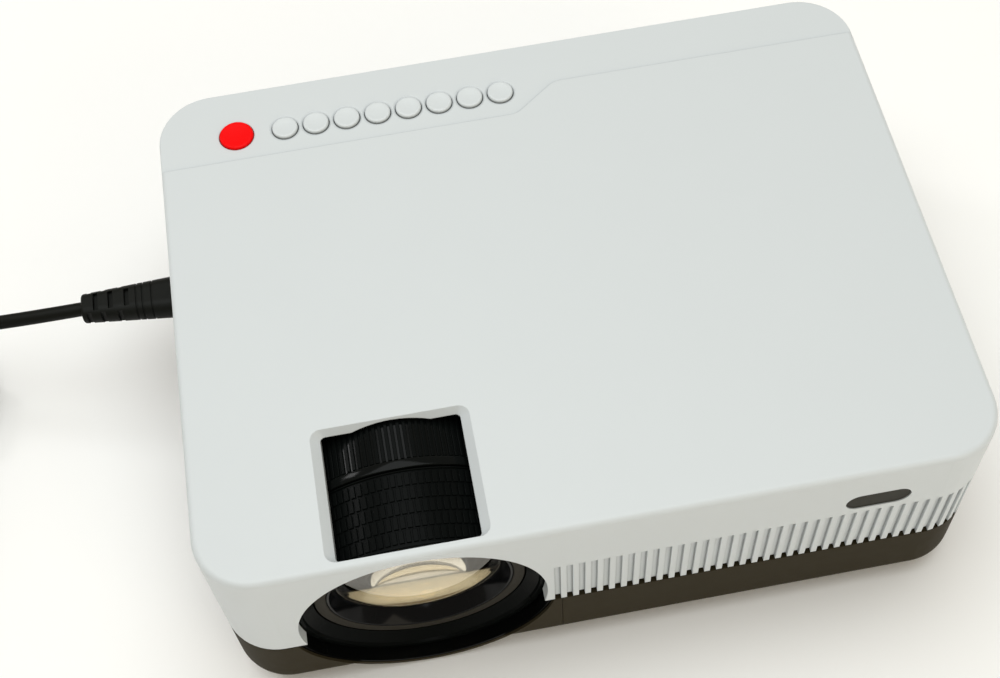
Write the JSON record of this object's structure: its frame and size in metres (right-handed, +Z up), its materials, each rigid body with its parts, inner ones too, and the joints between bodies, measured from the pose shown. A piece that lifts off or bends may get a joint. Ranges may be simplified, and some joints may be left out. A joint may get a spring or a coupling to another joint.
{
  "type": "table-top projector with disc player",
  "caption": "Table-top projector with a white upper case, dark lower case, large ringed lens, round keys, adjustable foot, mains lead and a disc drawer in its side.",
  "frame": {"origin": "on the floor under the middle of the case, at the height of the feet", "axes": "+Z up, the lens and front face -Y, the disc drawer opens towards +X and the mains lead leaves towards -X"},
  "size_m": [0.4754, 0.213, 0.1013],
  "materials": {
    "white_case": "satin moulded white",
    "white_panel": "satin moulded white",
    "taupe_case": "fine matt dark taupe",
    "white_key": "smooth white",
    "red_key": "smooth red",
    "black_plastic": "matt black",
    "dark_plastic": "matt dark grey",
    "gloss_black": "polished black",
    "receiver_plastic": "smoked infrared-passing plastic",
    "lens_glass": "coated optical glass",
    "clear_plastic": "clear optical plastic",
    "panel_glass": "liquid crystal panel",
    "light_chip": "lamp board with its yellow dome",
    "bare_aluminium": "extruded",
    "zinc_steel": "zinc-plated sheet",
    "bright_steel": "polished rod",
    "brass_insert": "turned brass",
    "green_board": "lacquered circuit board",
    "socket_metal": "sockets on their board",
    "grey_tray": "dark grey moulding",
    "speaker_black": "black frame and cone",
    "foot_rubber": "matt black rubber",
    "lead_rubber": "smooth black cable sheath",
    "plug_black": "soft black moulding"
  },
  "bodies": {
    "case": {"bottom_case": "taupe_case", "lens_fascia": "taupe_case", "lens_trim": "black_plastic", "top_case": "white_case", "left_side_panel": "white_panel", "ir_window": "receiver_plastic", "rubber_feet": "foot_rubber", "case_screws": "zinc_steel", "tripod_insert": "brass_insert", "key_board": "green_board", "lens_mount": "black_plastic", "optical_housing": "black_plastic", "optical_cover": "black_plastic", "front_fresnel": "clear_plastic", "rear_fresnel": "clear_plastic", "condenser_lens": "lens_glass", "led_module": "light_chip", "heat_sink": "bare_aluminium", "fan_frame": "dark_plastic", "drive_base": "zinc_steel", "drive_cover": "zinc_steel", "tray_rails": "zinc_steel", "board_shield": "zinc_steel", "main_board": "green_board", "power_board": "green_board", "speakers": "speaker_black", "port_board": "socket_metal", "power_inlet": "black_plastic", "power_plug": "plug_black", "power_lead": "lead_rubber", "lead_coil": "lead_rubber", "wall_plug": "plug_black"},
    "foot_wheel": {"foot_wheel": "black_plastic"},
    "elevator_foot": {"elevator_foot": "dark_plastic"},
    "focus_ring": {"focus_ring": "black_plastic"},
    "keystone_ring": {"keystone_ring": "black_plastic"},
    "lens_barrel": {"lens_barrel": "dark_plastic", "front_retaining_ring": "gloss_black", "front_lens": "lens_glass", "middle_lens": "lens_glass", "rear_lens": "lens_glass"},
    "lcd_cradle": {"lcd_cradle": "dark_plastic", "lcd_panel": "panel_glass"},
    "fan_rotor": {"fan_rotor": "black_plastic"},
    "disc_tray": {"disc_tray": "grey_tray", "tray_bezel": "taupe_case", "spindle_motor": "zinc_steel", "sled_rods": "bright_steel"},
    "eject_button": {"eject_button": "dark_plastic"},
    "spindle_hub": {"spindle_hub": "black_plastic"},
    "laser_sled": {"laser_sled": "dark_plastic"},
    "power_button": {"power_button": "red_key"},
    "button_1": {"button_1": "white_key"},
    "button_2": {"button_2": "white_key"},
    "button_3": {"button_3": "white_key"},
    "button_4": {"button_4": "white_key"},
    "button_5": {"button_5": "white_key"},
    "button_6": {"button_6": "white_key"},
    "button_7": {"button_7": "white_key"},
    "button_8": {"button_8": "white_key"}
  },
  "joints": [
    {"name": "power_press", "type": "slide", "parent": "case", "child": "power_button", "axis": [0, 0, -1], "range_m": [0, 0.0005], "stiffness_N_per_m": 1500, "springref_m": -0.0003},
    {"name": "button_1_press", "type": "slide", "parent": "case", "child": "button_1", "axis": [0, 0, -1], "range_m": [0, 0.0005], "stiffness_N_per_m": 1500, "springref_m": -0.0003},
    {"name": "button_2_press", "type": "slide", "parent": "case", "child": "button_2", "axis": [0, 0, -1], "range_m": [0, 0.0005], "stiffness_N_per_m": 1500, "springref_m": -0.0003},
    {"name": "button_3_press", "type": "slide", "parent": "case", "child": "button_3", "axis": [0, 0, -1], "range_m": [0, 0.0005], "stiffness_N_per_m": 1500, "springref_m": -0.0003},
    {"name": "button_4_press", "type": "slide", "parent": "case", "child": "button_4", "axis": [0, 0, -1], "range_m": [0, 0.0005], "stiffness_N_per_m": 1500, "springref_m": -0.0003},
    {"name": "button_5_press", "type": "slide", "parent": "case", "child": "button_5", "axis": [0, 0, -1], "range_m": [0, 0.0005], "stiffness_N_per_m": 1500, "springref_m": -0.0003},
    {"name": "button_6_press", "type": "slide", "parent": "case", "child": "button_6", "axis": [0, 0, -1], "range_m": [0, 0.0005], "stiffness_N_per_m": 1500, "springref_m": -0.0003},
    {"name": "button_7_press", "type": "slide", "parent": "case", "child": "button_7", "axis": [0, 0, -1], "range_m": [0, 0.0005], "stiffness_N_per_m": 1500, "springref_m": -0.0003},
    {"name": "button_8_press", "type": "slide", "parent": "case", "child": "button_8", "axis": [0, 0, -1], "range_m": [0, 0.0005], "stiffness_N_per_m": 1500, "springref_m": -0.0003},
    {"name": "focus_turn", "type": "hinge", "parent": "case", "child": "focus_ring", "pos_m": [-0.0675, -0.0867, 0.0525], "axis": [0, 1, 0], "range_deg": [-60, 60]},
    {"name": "focus_travel", "type": "slide", "parent": "case", "child": "lens_barrel", "axis": [0, -1, 0], "range_m": [-0.004, 0.004]},
    {"name": "keystone_turn", "type": "hinge", "parent": "case", "child": "keystone_ring", "pos_m": [-0.0675, -0.0611, 0.0525], "axis": [0, 1, 0], "range_deg": [-20, 20]},
    {"name": "lcd_tilt", "type": "hinge", "parent": "case", "child": "lcd_cradle", "pos_m": [-0.0675, -0.001, 0.0525], "axis": [1, 0, 0], "range_deg": [-4, 4]},
    {"name": "foot_wheel_turn", "type": "hinge", "parent": "case", "child": "foot_wheel", "pos_m": [-0.0095, -0.0905, 0.005], "axis": [0, 0, 1], "range_deg": [0, 1440]},
    {"name": "foot_extend", "type": "slide", "parent": "case", "child": "elevator_foot", "axis": [0, 0, -1], "range_m": [0, 0.012]},
    {"name": "tray_slide", "type": "slide", "parent": "case", "child": "disc_tray", "axis": [1, 0, 0], "range_m": [0, 0.118]},
    {"name": "eject_press", "type": "slide", "parent": "disc_tray", "child": "eject_button", "axis": [-1, 0, 0], "range_m": [0, 0.0008], "stiffness_N_per_m": 800, "springref_m": -0.0003},
    {"name": "disc_spin", "type": "hinge", "parent": "disc_tray", "child": "spindle_hub", "pos_m": [0.074, 0, 0.0242], "axis": [0, 0, 1], "continuous": true},
    {"name": "sled_travel", "type": "slide", "parent": "disc_tray", "child": "laser_sled", "axis": [0.7071, -0.7071, 0], "range_m": [0, 0.034]},
    {"name": "fan_spin", "type": "hinge", "parent": "case", "child": "fan_rotor", "pos_m": [-0.0675, 0.093, 0.0505], "axis": [0, 1, 0], "continuous": true}
  ],
  "couplings": [
    {"joint": "focus_travel", "follows": "focus_turn", "m_per_rad": 0.0037242},
    {"joint": "lcd_tilt", "follows": "keystone_turn", "ratio": 0.195},
    {"joint": "foot_wheel_turn", "follows": "foot_extend", "rad_per_m": 2092.9}
  ]
}
